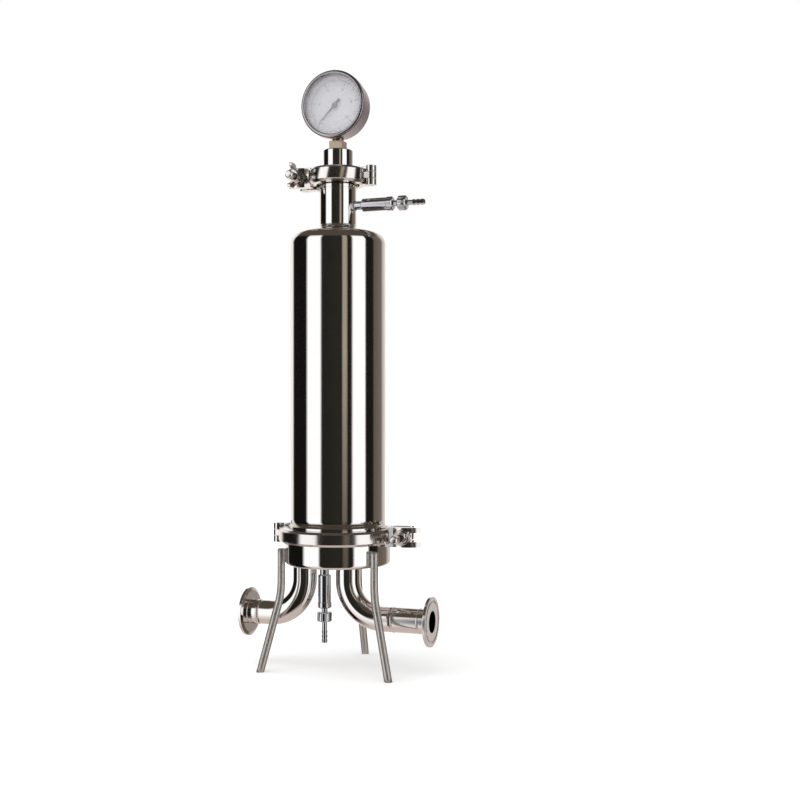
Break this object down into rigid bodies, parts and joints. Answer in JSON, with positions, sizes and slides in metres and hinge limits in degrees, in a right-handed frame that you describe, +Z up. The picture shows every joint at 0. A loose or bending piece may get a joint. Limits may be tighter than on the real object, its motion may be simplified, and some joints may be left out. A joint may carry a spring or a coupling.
{
  "type": "filter housing",
  "caption": "Upright hygienic cartridge filter housing: clamped bell on a base with two bottom ports, rod legs, pressure gauge, vent and drain valves.",
  "frame": {"origin": "on the bell's axis at the floor, between the three feet", "axes": "+Z up along the bell; +X towards the outlet ferrule and the vent valve; the gauge faces -Y"},
  "size_m": [0.204, 0.1451, 0.614],
  "materials": {
    "polished_steel": "mirror-polished stainless",
    "leg_steel": "drawn stainless rod",
    "gauge_steel": "pressed stainless",
    "cast_steel": "tumbled stainless casting",
    "valve_steel": "turned stainless",
    "gasket_rubber": "moulded silicone",
    "o_ring_rubber": "moulded EPDM",
    "seal_ptfe": "turned PTFE",
    "stem_brass": "turned brass",
    "dial_enamel": "matt white enamel",
    "pointer_black": "matt black",
    "lens_glass": "clear flat glass",
    "cartridge_plastic": "moulded polypropylene",
    "pleat_membrane": "pleated membrane"
  },
  "bodies": {
    "housing": {"base_pan": "polished_steel", "bell_flange": "polished_steel", "bell_shell": "polished_steel", "bourdon_tube": "stem_brass", "cartridge_socket": "polished_steel", "drain_valve_body": "valve_steel", "drain_valve_gland": "valve_steel", "gauge_adapter": "polished_steel", "gauge_bezel": "gauge_steel", "gauge_case": "gauge_steel", "gauge_dial": "dial_enamel", "gauge_lens": "lens_glass", "gauge_movement": "stem_brass", "gauge_stem": "stem_brass", "inlet_elbow": "polished_steel", "inlet_ferrule": "polished_steel", "leg_left": "leg_steel", "leg_rear": "leg_steel", "leg_right": "leg_steel", "main_clamp_bolt_pin": "cast_steel", "main_clamp_hinge_pin": "cast_steel", "main_clamp_rear_half": "cast_steel", "main_gasket": "gasket_rubber", "neck_ferrule": "polished_steel", "neck_tube": "polished_steel", "outlet_elbow": "polished_steel", "outlet_ferrule": "polished_steel", "outlet_spool": "polished_steel", "top_clamp_bolt_pin": "cast_steel", "top_clamp_hinge_pin": "cast_steel", "top_clamp_rear_half": "cast_steel", "top_gasket": "gasket_rubber", "vent_valve_body": "valve_steel", "vent_valve_gland": "valve_steel"},
    "pointer": {"gauge_pointer": "pointer_black"},
    "cartridge": {"cartridge_adapter": "cartridge_plastic", "adapter_o_rings": "o_ring_rubber", "cartridge_lower_cap": "cartridge_plastic", "cartridge_upper_cap": "cartridge_plastic", "cartridge_cage": "cartridge_plastic", "cartridge_core": "cartridge_plastic", "cartridge_pleats": "pleat_membrane"},
    "main_clamp_front": {"main_clamp_front_half": "cast_steel"},
    "main_bolt": {"main_clamp_swing_bolt": "cast_steel"},
    "main_washer": {"main_clamp_washer": "cast_steel"},
    "main_nut": {"main_clamp_wing_nut": "cast_steel"},
    "top_clamp_front": {"top_clamp_front_half": "cast_steel"},
    "top_bolt": {"top_clamp_swing_bolt": "cast_steel"},
    "top_washer": {"top_clamp_washer": "cast_steel"},
    "top_nut": {"top_clamp_wing_nut": "cast_steel"},
    "vent_spindle": {"vent_valve_spindle": "valve_steel"},
    "vent_seal": {"vent_valve_seal": "seal_ptfe"},
    "drain_spindle": {"drain_valve_spindle": "valve_steel"},
    "drain_seal": {"drain_valve_seal": "seal_ptfe"}
  },
  "joints": [
    {"name": "main_bolt_swing", "type": "hinge", "parent": "housing", "child": "main_bolt", "pos_m": [0.0735, 0.01, 0.13895], "axis": [0, 0, 1], "range_deg": [0, 110]},
    {"name": "main_nut_travel", "type": "slide", "parent": "main_bolt", "child": "main_washer", "axis": [0, -1, 0], "range_m": [0, 0.01125]},
    {"name": "main_nut_turn", "type": "hinge", "parent": "main_washer", "child": "main_nut", "pos_m": [0.0735, 0.01, 0.13895], "axis": [0, -1, 0], "range_deg": [0, 3240]},
    {"name": "main_clamp_open", "type": "hinge", "parent": "housing", "child": "main_clamp_front", "pos_m": [-0.067, 0, 0.13895], "axis": [0, 0, -1], "range_deg": [0, 4.35]},
    {"name": "top_bolt_swing", "type": "hinge", "parent": "housing", "child": "top_bolt", "pos_m": [-0.0405, 0.01, 0.50689], "axis": [0, 0, -1], "range_deg": [0, 110]},
    {"name": "top_nut_travel", "type": "slide", "parent": "top_bolt", "child": "top_washer", "axis": [0, -1, 0], "range_m": [0, 0.0075]},
    {"name": "top_nut_turn", "type": "hinge", "parent": "top_washer", "child": "top_nut", "pos_m": [-0.0405, 0.01, 0.50689], "axis": [0, -1, 0], "range_deg": [0, 2160]},
    {"name": "top_clamp_open", "type": "hinge", "parent": "housing", "child": "top_clamp_front", "pos_m": [0.0365, 0, 0.50689], "axis": [0, 0, 1], "range_deg": [0, 5.14]},
    {"name": "vent_spindle_turn", "type": "hinge", "parent": "housing", "child": "vent_spindle", "pos_m": [0.05455, 0, 0.47689], "axis": [1, 0, 0], "range_deg": [0, 1080]},
    {"name": "vent_seal_lift", "type": "slide", "parent": "housing", "child": "vent_seal", "axis": [1, 0, 0], "range_m": [0, 0.003]},
    {"name": "drain_spindle_turn", "type": "hinge", "parent": "housing", "child": "drain_spindle", "pos_m": [-0.015, 0, 0.068], "axis": [0, 0, -1], "range_deg": [0, 1080]},
    {"name": "drain_seal_lift", "type": "slide", "parent": "housing", "child": "drain_seal", "axis": [0, 0, -1], "range_m": [0, 0.003]},
    {"name": "gauge_pointer_sweep", "type": "hinge", "parent": "housing", "child": "pointer", "pos_m": [0, 0, 0.57949], "axis": [0, 1, 0], "range_deg": [0, 270]},
    {"name": "cartridge_twist", "type": "hinge", "parent": "housing", "child": "cartridge", "pos_m": [0, 0, 0.148], "axis": [0, 0, 1], "range_deg": [0, 20]}
  ],
  "couplings": [
    {"joint": "main_nut_travel", "follows": "main_nut_turn", "m_per_rad": 0.00019894},
    {"joint": "main_clamp_open", "follows": "main_nut_turn", "ratio": 0.0013417},
    {"joint": "top_nut_travel", "follows": "top_nut_turn", "m_per_rad": 0.00019894},
    {"joint": "top_clamp_open", "follows": "top_nut_turn", "ratio": 0.0023801},
    {"joint": "vent_seal_lift", "follows": "vent_spindle_turn", "m_per_rad": 0.00015915},
    {"joint": "drain_seal_lift", "follows": "drain_spindle_turn", "m_per_rad": 0.00015915}
  ]
}
